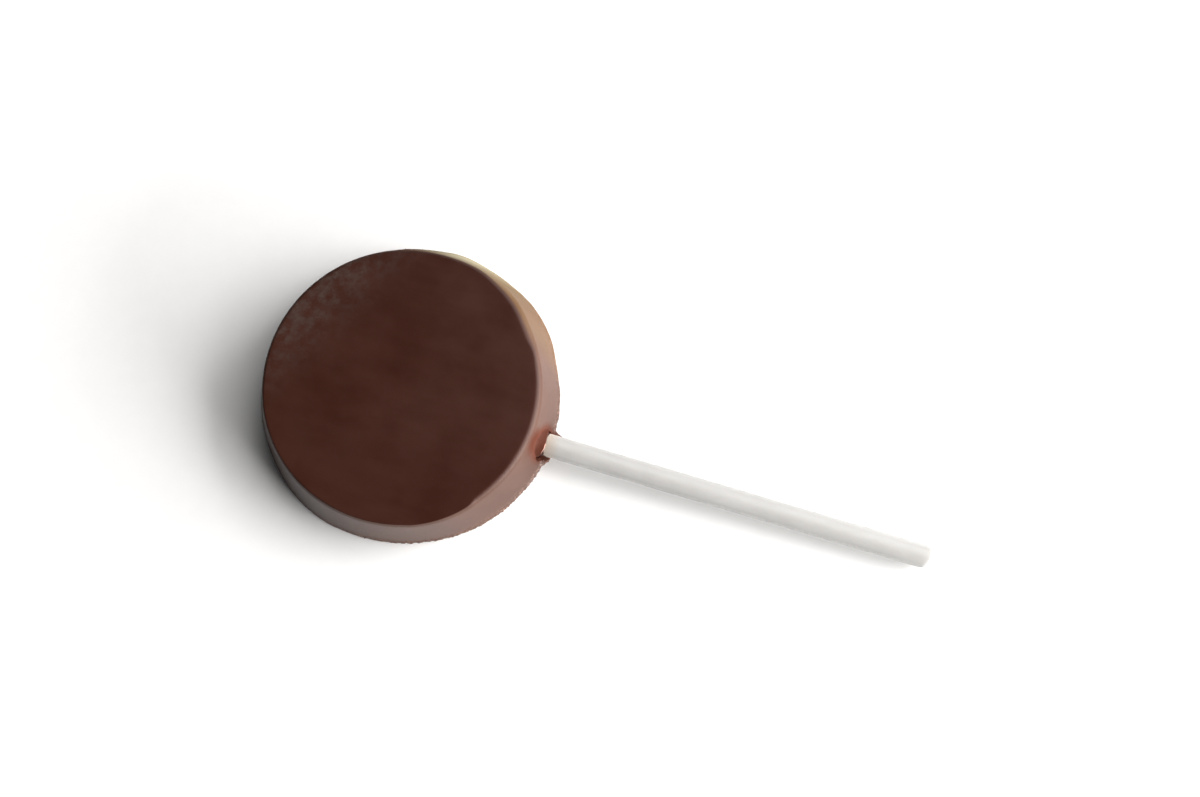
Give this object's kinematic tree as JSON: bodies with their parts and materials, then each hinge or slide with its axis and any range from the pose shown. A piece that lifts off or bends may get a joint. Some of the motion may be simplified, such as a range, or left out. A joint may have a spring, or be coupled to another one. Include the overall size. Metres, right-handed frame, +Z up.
{
  "type": "chocolate lollipop",
  "caption": "Round moulded chocolate lollipop lying flat: a shallow disc with sloping sides on a straight white rolled paper stick.",
  "frame": {"origin": "centre of the disc's flat underside, on the table", "axes": "+X along the stick, from the disc towards the stick's free end; +Z up, out of the disc's smooth moulded face"},
  "size_m": [0.114, 0.0498, 0.0084],
  "materials": {
    "chocolate": "satin dark chocolate, smooth top, slightly bloomed sloping side",
    "white_paper": "matt white rolled paper"
  },
  "bodies": {
    "root": {"chocolate": "chocolate", "paper_stick": "white_paper"}
  },
  "joints": []
}
